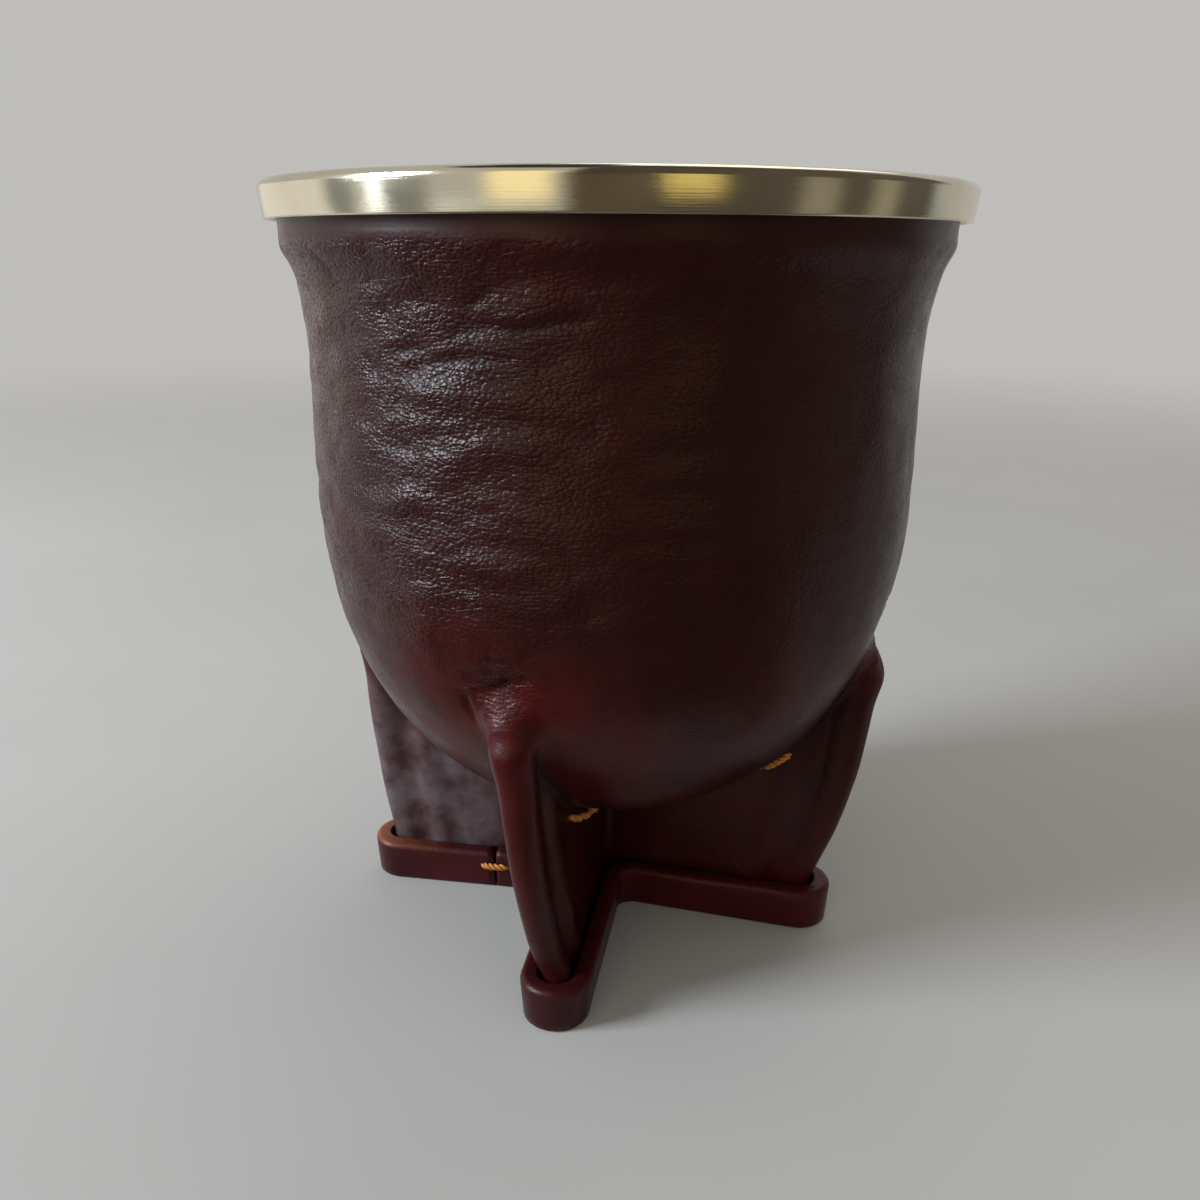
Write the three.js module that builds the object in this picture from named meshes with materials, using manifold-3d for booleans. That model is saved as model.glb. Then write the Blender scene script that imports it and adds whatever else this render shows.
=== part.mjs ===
// Mate cup: a dried gourd inside one moulded leather cover, whose four pinched fins are the legs,
// with a metal rim on the mouth and a leather strip round the foot.
// Millimetres, +Z up. The origin is on the table, under the axis of the bowl.
import * as THREE from "three";
import { mergeVertices } from "three/addons/utils/BufferGeometryUtils.js";
import Module from "manifold-3d";

const wasm = await Module();
wasm.setup();

// Heights, stacked from the table up
const LEG_HEIGHT = 19.1; // table to the lowest point of the bowl
const BOWL_DEPTH = 47; // lowest point of the bowl to the belly
const WAIST_RISE = 15.9; // belly to the waist
const FLARE_RISE = 18.5; // waist to the straight neck
const NECK_LENGTH = 3.2; // straight neck to the top of the rim

// Outer radii of the leather
const BELLY_R = 40.45;
const WAIST_R = 40.3;
const NECK_R = 43.7;

// How far each bend of the body runs on before it turns
const BOWL_FLOOR_HANDLE = 24.2;
const BOWL_SIDE_HANDLE = 29.4;
const FLARE_LOW_HANDLE = 13;
const FLARE_HIGH_HANDLE = 3;

// Walls
const LEATHER = 2.2;
const GOURD_WALL = 6;
const GOURD_FLOOR = 6.5;
const GOURD_MOUTH_WALL = 6.4;
const SEAT_GAP = 0.3; // between pieces that are glued, sewn or pressed together

// Rim
const RIM_SHEET = 0.6;
const RIM_BAND_HEIGHT = 4.4;
const RIM_BAND_TAPER = 0.4; // the band is wider at its top by this much on the radius
const RIM_SHOULDER = 1;
const RIM_CROWN_DROP = 0.3; // the top falls this much towards the mouth
const RIM_LIP = 1.2; // radius of the roll into the mouth
const COLLAR_DEPTH = 12;

// Fins, the legs: a hand-made cross, which stands a little off the bowl's axis. Each fin has its own heading
// at the foot, in degrees, and its own turn from there to its hidden top end
const FINS = [
  { name: "front", heading: -90, twist: -8.2 },
  { name: "right", heading: -5.8, twist: 0 },
  { name: "back", heading: 90, twist: 0 },
  { name: "left", heading: 181, twist: 0 },
];
const FOOT_X = -2.1; // middle of the cross
const FOOT_Y = -0.4;
const ARM_REACH = 35.8; // middle of the cross to the outside of the strip on a toe
const FIN_HALF_THICKNESS = 1.7;
const FOLD_R_FOOT = 1.8; // rolled fold at the foot of a fin
const FOLD_R_TOP = 2.9; // rolled fold where a fin leaves the bowl
const FOLD_BLEND = 4; // length over which the fold thins to the plain fin
const FIN_ROOT_RISE = 35; // height of a fin's hidden top end above the lowest point of the bowl
const FIN_ROOT_INSET = 3; // how far that end lies inside the bowl's surface
const FIN_SHOULDER_R = 39.6; // the two handles of a fin's outer edge, from the bowl's axis
const FIN_SHOULDER_RISE = 23;
const FIN_SHIN_R = 38.75;
const FIN_SHIN_RISE = 4.9;

// Strip round the foot
const WELT_HEIGHT = 6.3;
const WELT_THICKNESS = 2.4;
const WELT_CORNER_R = 2.4; // outer face, where two arms meet
const WELT_FLARE = 0.35; // the upper edge leans out by this much
const WELT_EDGE_R = 0.9;
const JOINT_GAP = 0.4; // between the two ends of the strip
const JOINT_FIN = "left";
const JOINT_REACH = 15.5; // along that arm

// Thread
const THREAD_R = 0.55;
const THREAD_LIFT = 0.3; // how far the middle of the thread stands off the leather
const SEAM_DROP = 1.6; // seam line below the bowl's surface
const SEAM_START = 8; // along a fin
const SEAM_END = 30;
const SEAM_STITCHES = 5;
const CLOSING_STITCH = 4; // length of the stitch over the joint of the strip
const CLOSING_HEIGHT = 3.8; // of that stitch over the table
const CLOSING_BEND = 0.8; // where it turns into its holes
const CLOSING_BITE = 1.1; // how far its ends go into the fin

// Facets
const AROUND = 40;
const BOWL_STEPS = 9;
const WAIST_STEPS = 2;
const FLARE_STEPS = 5;
const FIN_STEPS = 9;
const FOLD_STEPS = 6;
const TIP_STEPS = 8;
const CORNER_STEPS = 4;
const BEND_STEPS = 3;
const THREAD_SIDES = 6;

// Worked out from the sizes above
const SKIN = LEATHER + SEAT_GAP;
const BELLY_Z = LEG_HEIGHT + BOWL_DEPTH;
const WAIST_Z = BELLY_Z + WAIST_RISE;
const NECK_Z = WAIST_Z + FLARE_RISE;
const CUP_TOP = NECK_Z + NECK_LENGTH;
const RIM_SEAT_Z = CUP_TOP - RIM_CROWN_DROP - RIM_SHEET - SEAT_GAP;
const FIN_ROOT_Z = LEG_HEIGHT + FIN_ROOT_RISE;
const FIN_TO_WELT = SEAT_GAP + WELT_THICKNESS;
const WELT_HALF_WIDTH = FIN_HALF_THICKNESS + FIN_TO_WELT;
const QUARTER = Math.PI / 2;

const leatherRed = new THREE.MeshStandardMaterial({ color: 0x3a1216, roughness: 0.5 });
const weltRed = new THREE.MeshStandardMaterial({ color: 0x4a151b, roughness: 0.55 });
const gourdTan = new THREE.MeshStandardMaterial({ color: 0x9a7448, roughness: 0.8 });
const nickelSilver = new THREE.MeshStandardMaterial({ color: 0xc9c0a4, roughness: 0.3, metalness: 1 });
const goldThread = new THREE.MeshStandardMaterial({ color: 0xc98a2c, roughness: 0.7 });

// Solids and booleans
function solid(geometry) {
  const bare = new THREE.BufferGeometry();
  bare.setAttribute("position", geometry.getAttribute("position"));
  bare.setIndex(geometry.getIndex());
  const merged = mergeVertices(bare, 1e-4);
  const corners = merged.getIndex().array;
  const faces = [];
  for (let i = 0; i < corners.length; i += 3) {
    const face = Array.from(corners.subarray(i, i + 3));
    if (new Set(face).size === 3) faces.push(...face);
  }
  return new wasm.Manifold(
    new wasm.Mesh({
      numProp: 3,
      vertProperties: merged.getAttribute("position").array,
      triVerts: new Uint32Array(faces),
    }),
  );
}

function geometryOf(body) {
  const { vertProperties, triVerts } = body.getMesh();
  const indexed = new THREE.BufferGeometry();
  indexed.setAttribute("position", new THREE.BufferAttribute(vertProperties, 3));
  indexed.setIndex(new THREE.BufferAttribute(triVerts, 1));
  const faceted = indexed.toNonIndexed();
  faceted.computeVertexNormals();
  return faceted;
}

function revolve(profile) {
  return new THREE.LatheGeometry(profile, AROUND).rotateX(QUARTER);
}

// A skin over closed rings of equally many points, counter-clockwise from above, with flat ends.
function loft(rings) {
  const count = rings[0].length;
  const index = [];
  for (let level = 0; level < rings.length - 1; level++) {
    for (let i = 0; i < count; i++) {
      const a = level * count + i;
      const b = level * count + ((i + 1) % count);
      index.push(a, b, b + count, a, b + count, a + count);
    }
  }
  const top = (rings.length - 1) * count;
  const flat = (ring) => ring.map((p) => new THREE.Vector2(p.x, p.y));
  for (const [a, b, c] of THREE.ShapeUtils.triangulateShape(flat(rings[0]), [])) {
    index.push(c, b, a);
  }
  for (const [a, b, c] of THREE.ShapeUtils.triangulateShape(flat(rings.at(-1)), [])) {
    index.push(top + a, top + b, top + c);
  }
  const geometry = new THREE.BufferGeometry().setFromPoints(rings.flat());
  geometry.setIndex(index);
  return geometry;
}

// Thread along a smooth curve through the points.
function thread(points, radius, steps) {
  const section = new THREE.Shape();
  section.absarc(0, 0, radius, 0, 4 * QUARTER);
  const extrudePath = new THREE.CatmullRomCurve3(points);
  const curveSegments = THREAD_SIDES / 2; // a full circle is cut into twice as many
  return new THREE.ExtrudeGeometry(section, { steps, curveSegments, extrudePath, bevelEnabled: false });
}

// Profiles, as points (radius, height)
function bodyProfile(floorZ, bellyR, waistR, neckR, topZ) {
  const at = (r, z) => new THREE.Vector2(r, z);
  const bowl = new THREE.CubicBezierCurve(
    at(0, floorZ),
    at(BOWL_FLOOR_HANDLE, floorZ),
    at(bellyR, BELLY_Z - BOWL_SIDE_HANDLE),
    at(bellyR, BELLY_Z),
  );
  const waist = new THREE.CubicBezierCurve(
    at(bellyR, BELLY_Z),
    at(bellyR, BELLY_Z + WAIST_RISE / 2),
    at(waistR, WAIST_Z - WAIST_RISE / 2),
    at(waistR, WAIST_Z),
  );
  const flare = new THREE.CubicBezierCurve(
    at(waistR, WAIST_Z),
    at(waistR, WAIST_Z + FLARE_LOW_HANDLE),
    at(neckR, NECK_Z - FLARE_HIGH_HANDLE),
    at(neckR, NECK_Z),
  );
  return [
    ...bowl.getPoints(BOWL_STEPS),
    ...waist.getPoints(WAIST_STEPS).slice(1),
    ...flare.getPoints(FLARE_STEPS).slice(1),
    at(neckR, topZ),
  ];
}

// The profile moved towards the axis by a distance, with its ends kept on the axis and at the top.
function inset(profile, distance) {
  const last = profile.length - 1;
  return profile.map((point, i) => {
    if (i === 0) return new THREE.Vector2(0, point.y + distance);
    if (i === last) return new THREE.Vector2(point.x - distance, point.y);
    const along = profile[i + 1].clone().sub(profile[i - 1]).normalize();
    return new THREE.Vector2(point.x - along.y * distance, point.y + along.x * distance);
  });
}

// The stretch of a rising profile from a height up.
function above(profile, z) {
  const i = profile.findIndex((point) => point.y > z);
  const share = (z - profile[i - 1].y) / (profile[i].y - profile[i - 1].y);
  return [profile[i - 1].clone().lerp(profile[i], share), ...profile.slice(i)];
}

function heightAt(profile, r) {
  const i = profile.findIndex((point) => point.x > r);
  const share = (r - profile[i - 1].x) / (profile[i].x - profile[i - 1].x);
  return THREE.MathUtils.lerp(profile[i - 1].y, profile[i].y, share);
}

function bend(centreR, centreZ, radius, from, to) {
  const points = [];
  for (let i = 0; i <= BEND_STEPS; i++) {
    const angle = THREE.MathUtils.lerp(from, to, i / BEND_STEPS);
    points.push(new THREE.Vector2(centreR + radius * Math.cos(angle), centreZ + radius * Math.sin(angle)));
  }
  return points;
}

const leatherOutside = bodyProfile(LEG_HEIGHT, BELLY_R, WAIST_R, NECK_R, RIM_SEAT_Z);
const leatherInside = inset(leatherOutside, LEATHER);
const gourdOutside = inset(leatherOutside, SKIN);
const gourdInside = bodyProfile(
  LEG_HEIGHT + SKIN + GOURD_FLOOR,
  BELLY_R - SKIN - GOURD_WALL,
  WAIST_R - SKIN - GOURD_WALL,
  NECK_R - SKIN - GOURD_MOUTH_WALL,
  RIM_SEAT_Z,
);

// Heading of a fin at a height: a twisted fin turns most just above the foot.
function headingAt(fin, z) {
  const risen = THREE.MathUtils.clamp((z - WELT_HEIGHT) / (FIN_ROOT_Z - WELT_HEIGHT), 0, 1);
  return THREE.MathUtils.degToRad(fin.heading + fin.twist * Math.sqrt(risen));
}

// A point of a fin: along its heading from the middle of the cross, across it and up.
function onFin(fin, along, across, z) {
  const heading = headingAt(fin, z);
  return new THREE.Vector3(
    FOOT_X + along * Math.cos(heading) - across * Math.sin(heading),
    FOOT_Y + along * Math.sin(heading) + across * Math.cos(heading),
    z,
  );
}

// How far along a fin its middle plane is at a radius from the bowl's axis.
function alongAt(fin, radius, z) {
  const heading = headingAt(fin, z);
  const forward = FOOT_X * Math.cos(heading) + FOOT_Y * Math.sin(heading);
  const aside = FOOT_X * Math.sin(heading) - FOOT_Y * Math.cos(heading);
  return Math.sqrt(radius ** 2 - aside ** 2) - forward;
}

const axisRadius = (point) => Math.hypot(point.x, point.y);

// One fin: level sections with a rolled fold at the outer edge, from the table up into the bowl.
function finSolid(fin) {
  const toe = ARM_REACH - FIN_TO_WELT;
  const bowlAtRoot = above(leatherOutside, FIN_ROOT_Z)[0].x;
  const edge = new THREE.CubicBezierCurve(
    new THREE.Vector2(axisRadius(onFin(fin, toe, 0, 0)), WELT_HEIGHT),
    new THREE.Vector2(FIN_SHIN_R, LEG_HEIGHT + FIN_SHIN_RISE),
    new THREE.Vector2(FIN_SHOULDER_R, LEG_HEIGHT + FIN_SHOULDER_RISE),
    new THREE.Vector2(bowlAtRoot - FIN_ROOT_INSET, FIN_ROOT_Z),
  );
  const section = (edgeAlong, z, foldR) => {
    const centre = edgeAlong - foldR;
    const ring = [
      onFin(fin, -FIN_HALF_THICKNESS, -FIN_HALF_THICKNESS, z),
      onFin(fin, centre - FOLD_BLEND, -FIN_HALF_THICKNESS, z),
    ];
    for (let i = 0; i <= FOLD_STEPS; i++) {
      const angle = -QUARTER + (i / FOLD_STEPS) * 2 * QUARTER;
      ring.push(onFin(fin, centre + foldR * Math.cos(angle), foldR * Math.sin(angle), z));
    }
    ring.push(onFin(fin, centre - FOLD_BLEND, FIN_HALF_THICKNESS, z));
    ring.push(onFin(fin, -FIN_HALF_THICKNESS, FIN_HALF_THICKNESS, z));
    return ring;
  };
  const rings = edge.getPoints(FIN_STEPS).map((point, i) => {
    const foldR = THREE.MathUtils.lerp(FOLD_R_FOOT, FOLD_R_TOP, i / FIN_STEPS);
    return section(alongAt(fin, point.x, point.y), point.y, foldR);
  });
  return solid(loft([section(toe, 0, FOLD_R_FOOT), ...rings]));
}

// Saddle stitch of one fin: a thread along the crease on each flank, joined through the stitch holes.
function seamSolid(fin, radius) {
  const line = inset(leatherOutside, -SEAM_DROP);
  const side = FIN_HALF_THICKNESS + THREAD_LIFT;
  const place = (k, across) => {
    const along = THREE.MathUtils.lerp(SEAM_START, SEAM_END, k / SEAM_STITCHES);
    const underBowl = axisRadius(onFin(fin, along, across, LEG_HEIGHT));
    return onFin(fin, along, across, heightAt(line, underBowl));
  };
  const rail = (across) => {
    const points = Array.from({ length: SEAM_STITCHES + 1 }, (unused, k) => place(k, across));
    return solid(thread(points, radius, SEAM_STITCHES));
  };
  let body = rail(-side).add(rail(side));
  for (let k = 0; k < SEAM_STITCHES; k++) {
    const middle = k + 0.5;
    body = body.add(solid(thread([place(middle, -side), place(middle, side)], radius, 1)));
  }
  return body;
}

function polar(radius, angle) {
  return new THREE.Vector3(radius * Math.cos(angle), radius * Math.sin(angle), 0);
}

// Points of a level arc, by its first angle and how far it turns.
function arc(centre, radius, start, turn, steps) {
  return Array.from({ length: steps + 1 }, (unused, k) => {
    return polar(radius, start + (k / steps) * turn).add(centre);
  });
}

// Level outline of the strip round the four fins, moved out by a distance.
function weltRing(out, z) {
  const halfWidth = WELT_HALF_WIDTH + out;
  const cornerR = WELT_CORNER_R - out;
  return FINS.flatMap((fin, i) => {
    const next = FINS[(i + 1) % FINS.length];
    const between = THREE.MathUtils.euclideanModulo(next.heading - fin.heading, 360);
    const halfAngle = THREE.MathUtils.degToRad(between / 2);
    const heading = THREE.MathUtils.degToRad(fin.heading);
    const foot = new THREE.Vector3(FOOT_X, FOOT_Y, z);
    const tip = polar(ARM_REACH - WELT_HALF_WIDTH, heading).add(foot);
    const corner = polar((halfWidth + cornerR) / Math.sin(halfAngle), heading + halfAngle).add(foot);
    return [
      ...arc(tip, halfWidth, heading - QUARTER, 2 * QUARTER, TIP_STEPS),
      ...arc(corner, cornerR, heading - QUARTER, 2 * halfAngle - 2 * QUARTER, CORNER_STEPS),
    ];
  });
}

// Stitch over the joint of the strip: out of the fin, along the outer face and back in.
function closingStitchSolid(radius, extra) {
  const fin = FINS.find((each) => each.name === JOINT_FIN);
  const outside = WELT_HALF_WIDTH + THREAD_LIFT;
  const inside = FIN_HALF_THICKNESS - CLOSING_BITE - extra;
  const z = CLOSING_HEIGHT;
  const start = JOINT_REACH - CLOSING_STITCH / 2;
  const end = JOINT_REACH + CLOSING_STITCH / 2;
  const points = [
    onFin(fin, start, inside, z),
    onFin(fin, start, outside - CLOSING_BEND, z),
    onFin(fin, start + CLOSING_BEND, outside, z),
    onFin(fin, end - CLOSING_BEND, outside, z),
    onFin(fin, end, outside - CLOSING_BEND, z),
    onFin(fin, end, inside, z),
  ];
  return solid(thread(points, radius, 3 * points.length));
}

function weltSolid() {
  const roundedOff = WELT_EDGE_R * (1 - Math.SQRT1_2); // half way round the upper edge
  const outer = loft([
    weltRing(0, 0),
    weltRing(WELT_FLARE, WELT_HEIGHT - WELT_EDGE_R),
    weltRing(WELT_FLARE - roundedOff, WELT_HEIGHT - roundedOff),
    weltRing(WELT_FLARE - WELT_EDGE_R, WELT_HEIGHT),
  ]);
  const inner = loft([
    weltRing(-WELT_THICKNESS, -SEAT_GAP),
    weltRing(-WELT_THICKNESS, WELT_HEIGHT + SEAT_GAP),
  ]);
  const fin = FINS.find((each) => each.name === JOINT_FIN);
  const cutWidth = WELT_HALF_WIDTH + 2 * WELT_FLARE;
  const joint = new THREE.BoxGeometry(JOINT_GAP, cutWidth, 2 * WELT_HEIGHT + 2 * SEAT_GAP);
  joint.rotateZ(THREE.MathUtils.degToRad(fin.heading));
  joint.translate(...onFin(fin, JOINT_REACH, cutWidth / 2, 0).toArray());
  return solid(outer)
    .subtract(solid(inner))
    .subtract(solid(joint))
    .subtract(closingStitchSolid(THREAD_R + SEAT_GAP, SEAT_GAP));
}

// One skin: the body and the four fins, hollowed for the gourd and pierced for the thread.
function coverSolid() {
  const axisTop = new THREE.Vector2(0, RIM_SEAT_Z);
  let body = solid(revolve([...leatherOutside, axisTop]));
  for (const fin of FINS) body = body.add(finSolid(fin));
  const mouth = CUP_TOP + SEAT_GAP;
  const mouthEdge = new THREE.Vector2(leatherInside.at(-1).x, mouth);
  body = body.subtract(solid(revolve([...leatherInside, mouthEdge, new THREE.Vector2(0, mouth)])));
  for (const fin of FINS) body = body.subtract(seamSolid(fin, THREAD_R + SEAT_GAP));
  return body.subtract(closingStitchSolid(THREAD_R + SEAT_GAP, SEAT_GAP));
}

function gourdGeometry() {
  return revolve([...gourdOutside, ...gourdInside.toReversed()]);
}

// Rim: outer band, shoulder, top and collar, as one sheet.
function rimGeometry() {
  const bandInside = NECK_R + SEAT_GAP;
  const bandOutside = bandInside + RIM_SHEET;
  const bandTop = bandOutside + RIM_BAND_TAPER;
  const collarFoot = CUP_TOP - COLLAR_DEPTH;
  const lipTop = CUP_TOP - RIM_CROWN_DROP;
  const collarOutside = above(inset(gourdInside, SEAT_GAP), collarFoot);
  const collarInside = above(inset(gourdInside, SEAT_GAP + RIM_SHEET), collarFoot);
  const collarR = collarInside.at(-1).x;
  const bandFoot = CUP_TOP - RIM_BAND_HEIGHT;
  const ceiling = RIM_SEAT_Z + SEAT_GAP;
  const loop = [
    new THREE.Vector2(bandOutside, bandFoot),
    ...bend(bandTop - RIM_SHOULDER, CUP_TOP - RIM_SHOULDER, RIM_SHOULDER, 0, QUARTER),
    ...bend(collarR + RIM_LIP, lipTop - RIM_LIP, RIM_LIP, QUARTER, 2 * QUARTER),
    ...collarInside.slice(0, -1).toReversed(),
    ...collarOutside.slice(0, -1),
    new THREE.Vector2(collarOutside.at(-1).x, ceiling),
    new THREE.Vector2(bandInside, ceiling),
    new THREE.Vector2(bandInside, bandFoot),
  ];
  return revolve([...loop, loop[0]]);
}

const cup = new THREE.Group();

function addPiece(name, geometry, material) {
  const mesh = new THREE.Mesh(geometry, material);
  mesh.name = name;
  cup.add(mesh);
}

addPiece("gourd", gourdGeometry(), gourdTan);
addPiece("leather_cover", geometryOf(coverSolid()), leatherRed);
addPiece("rim", rimGeometry(), nickelSilver);
addPiece("foot_welt", geometryOf(weltSolid()), weltRed);
for (const fin of FINS) {
  addPiece(`${fin.name}_seam_thread`, geometryOf(seamSolid(fin, THREAD_R)), goldThread);
}
addPiece("welt_stitch", geometryOf(closingStitchSolid(THREAD_R, 0)), goldThread);

export default cup;
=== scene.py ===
"""Looks of a mate cup: moulded leather over a gourd, a metal rim and a stitched strip round the foot.

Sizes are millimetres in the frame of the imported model, and become metres where a mesh is made.
"""

import math

import bpy
import numpy as np
from mathutils import Matrix, Vector, noise


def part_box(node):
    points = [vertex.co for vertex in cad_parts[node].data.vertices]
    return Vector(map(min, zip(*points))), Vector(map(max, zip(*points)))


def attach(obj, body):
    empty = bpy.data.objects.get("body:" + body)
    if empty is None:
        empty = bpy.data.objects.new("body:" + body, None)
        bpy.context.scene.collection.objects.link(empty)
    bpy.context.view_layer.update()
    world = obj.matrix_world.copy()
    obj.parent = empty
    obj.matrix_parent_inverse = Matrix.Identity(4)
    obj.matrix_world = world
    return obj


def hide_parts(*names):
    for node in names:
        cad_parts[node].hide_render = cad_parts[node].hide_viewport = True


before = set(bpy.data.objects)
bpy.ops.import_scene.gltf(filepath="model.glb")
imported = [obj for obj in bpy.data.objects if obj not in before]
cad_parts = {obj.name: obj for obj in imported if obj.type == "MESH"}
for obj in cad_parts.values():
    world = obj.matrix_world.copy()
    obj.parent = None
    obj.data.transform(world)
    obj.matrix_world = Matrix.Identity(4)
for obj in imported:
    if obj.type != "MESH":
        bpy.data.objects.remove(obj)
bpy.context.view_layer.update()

MM = 0.001
QUARTER = math.pi / 2

# Camera, fitted to the photograph
CAMERA_PLACE = (23.14, -147.74, 96.42)
CAMERA_TURN = math.radians(9.64)
CAMERA_PITCH = math.radians(18.21)
CAMERA_ROLL = 0.0057
SENSOR = 36
LENS = 32.22

# Sizes of the cup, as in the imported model
CUP_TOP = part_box("rim")[1].z / MM
LEG_HEIGHT = 19.1
BELLY_Z = LEG_HEIGHT + 47
WAIST_Z = BELLY_Z + 15.9
NECK_Z = WAIST_Z + 18.5
BELLY_R = 40.45
WAIST_R = 40.3
NECK_R = 43.7
BOWL_FLOOR_HANDLE = 24.2
BOWL_SIDE_HANDLE = 29.4
FLARE_LOW_HANDLE = 13
FLARE_HIGH_HANDLE = 3
LEATHER = 2.2
SEAT_GAP = 0.3
SKIN = LEATHER + SEAT_GAP
GOURD_WALL = 6
GOURD_FLOOR = 6.5
GOURD_MOUTH_WALL = 6.4
GOURD_WAVE = 0.35  # unevenness of its inner face
GOURD_WAVE_SIZE = (5, 5, 14)
GOURD_WAVE_FADE = 4  # it fades over this height, up to the rim's collar
GOURD_CENTRE_R = 4
PROFILE_STEPS = 24
BOWL_ROWS = 5 * PROFILE_STEPS  # rows of the cover's profile that lie on the bowl

# Rim
RIM_SHEET = 0.6
RIM_BAND_HEIGHT = 4.4
RIM_BAND_TAPER = 0.4
RIM_SHOULDER = 1
RIM_CROWN_DROP = 0.3
RIM_LIP = 1.2
COLLAR_DEPTH = 12
RIM_EDGE_R = 0.22
RIM_SEAT_Z = CUP_TOP - RIM_CROWN_DROP - RIM_SHEET - SEAT_GAP
RIM_COLUMNS = 320

# Fins
FINS = (
    {"name": "front", "heading": -90, "twist": -8.2, "open_stitches": (0, 1, 2)},
    {"name": "right", "heading": -5.8, "twist": 0, "open_stitches": (4,)},
    {"name": "back", "heading": 90, "twist": 0, "open_stitches": (2, 3)},
    {"name": "left", "heading": 181, "twist": 0, "open_stitches": (3,)},
)
FOOT = np.array((-2.1, -0.4))
ARM_REACH = 35.8
FIN_HALF_THICKNESS = 1.7
FOLD_R_FOOT = 1.8
FOLD_R_TOP = 2.9
FIN_ROOT_Z = LEG_HEIGHT + 35
FIN_ROOT_INSET = 3
FIN_SHIN = (38.75, LEG_HEIGHT + 4.9)  # handles of its outer edge, as (radius, height)
FIN_SHOULDER = (39.6, LEG_HEIGHT + 23)
KNEE_Z = 39.5  # the fold stands out most here, and turns into the bowl above
KNEE_RISE = 0.6
KNEE_WIDTH = 4
KNEE_SINK = 1.5
FOLD_FADE = 2.6  # length over which the fold thins to the plain fin
GROOVE_DEPTH = 0.5  # pinched line behind the fold
GROOVE_BACK = 3.6
GROOVE_WIDTH = 1.5
PILLOW_RISE = 0.5  # soft swelling behind that line
PILLOW_BACK = 6.8
PILLOW_WIDTH = 2
BLEND_LOW = 1.1  # how softly a fin runs into the bowl, under it and at the top of the fin
BLEND_HIGH = 3
BLEND_FROM = 32  # height at which that begins to change
CORNER_BLEND = 1.6

# Strip round the foot
WELT_HEIGHT = 6.3
WELT_THICKNESS = 2.4
WELT_CORNER_R = 2.4
WELT_FLARE = 0.35
WELT_EDGE_R = 0.9
WELT_LIP = 2.35  # thickness of its upper edge, over a groove along the fin
WELT_GROOVE = 1.8
WELT_UNDERCUT = 0.2
WELT_GROOVE_STEP = (0.1, 0.4)
WELT_LIP_R = 0.4
WELT_CHAMFER = (0.3, 0.35)  # its lower edge, out and up
WELT_WAVE = 0.22  # unevenness of its upper edge
WELT_WAVE_SIZE = (9, 9, 30)
WELT_EVEN_Z = 2  # even below this height
WELT_GRAIN = 0.25
WELT_RED = 1.2
WELT_TOP_BAND = 0.2
WELT_WEAR_DROP = 0.5
WELT_WEAR_WIDTH = 0.8
RAW_TIP = 8  # reach of the cut edge seen at the left tip
DARK_TIP = 10  # reach of the darker front tip
DARK_TIP_SHARE = 0.9
FIN_TO_WELT = SEAT_GAP + WELT_THICKNESS
WELT_HALF_WIDTH = FIN_HALF_THICKNESS + FIN_TO_WELT
JOINT_FIN = 3  # the strip's ends meet on the front of this fin
JOINT_GAP = 0.4
JOINT_REACH = 15.5

# Thread
THREAD_R = 0.55
PLY_R = 0.54 * THREAD_R
THREAD_LIFT = 0.3
THREAD_PLIES = 3
THREAD_TWIST = 2.6  # length of one turn
SEAM_DROP = 1.6
SEAM_START = 8
SEAM_END = 30
SEAM_STITCHES = 5
SEAM_SINK = 0.3
STITCH_SHARES = (0.06, 0.26, 0.5, 0.74, 0.94)  # points along a stitch, between its holes
SEAM_CROWN = 0.12  # a stitch stands this much higher in its middle
CLOSING_STITCH = 4
CLOSING_HEIGHT = 3.8
CLOSING_BEND = 0.8
CLOSING_BITE = 1.1

# Mesh of the cover: columns of each fin, columns between fins, and the steps between its rings
FLANK_COLUMNS = 26
FOLD_COLUMNS = 15
ARC_COLUMNS = 44
FIN_COLUMNS = 2 * FLANK_COLUMNS + FOLD_COLUMNS
FOOT_STEP = 0.85
BOWL_STEP = 0.75
WALL_STEP = 0.58
INSIDE_STEPS = 22
FAN_LOW = 37  # the columns of a fin spread over the bowl between these heights
FAN_HIGH = 43
FAN_HALF_WIDTH = 9
EVEN_Z = 78  # from here up the columns are evenly spaced

# Creases of the leather: depth, then (heading in degrees, height) along each
CREASE_WIDTH = 0.5
CREASES = (
    (0.55, ((-106, 88.1), (-100, 88.6), (-95, 88.4), (-91, 88.9), (-84, 89.6))),
    (0.48, ((-115, 83.2), (-112, 84.6), (-106, 85.1), (-102, 85.4), (-95, 85.2))),
    (0.4, ((-119, 85.5), (-114, 86), (-109, 86.1))),
    (0.36, ((-103, 90.3), (-101, 91.3), (-98, 92.3))),
    (0.34, ((-124, 85), (-121, 82.8))),
    (0.16, ((-92, 93.9), (-86, 95.9))),
    (0.18, ((-113, 76.8), (-101, 77.6))),
    (0.2, ((-115, 73.6), (-107, 73.6))),
    (0.28, ((-106, 68.8), (-99, 69.5))),
    (0.16, ((-100, 71.4), (-96, 71.8))),
    (0.14, ((-114, 53.6), (-104, 54.1), (-96, 55.1))),
    (0.34, ((66, 83.4), (75, 84.8), (83, 84.5), (92, 85.3))),
    (0.28, ((98, 76.8), (106, 78.2), (115, 77.9))),
    (0.24, ((112, 88.4), (119, 89.6), (127, 89.2))),
    (0.24, ((70, 70.2), (78, 71.3), (88, 71))),
    (0.2, ((134, 73.4), (143, 74.6))),
    (0.2, ((48, 78.6), (56, 79.4))),
)
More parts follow.
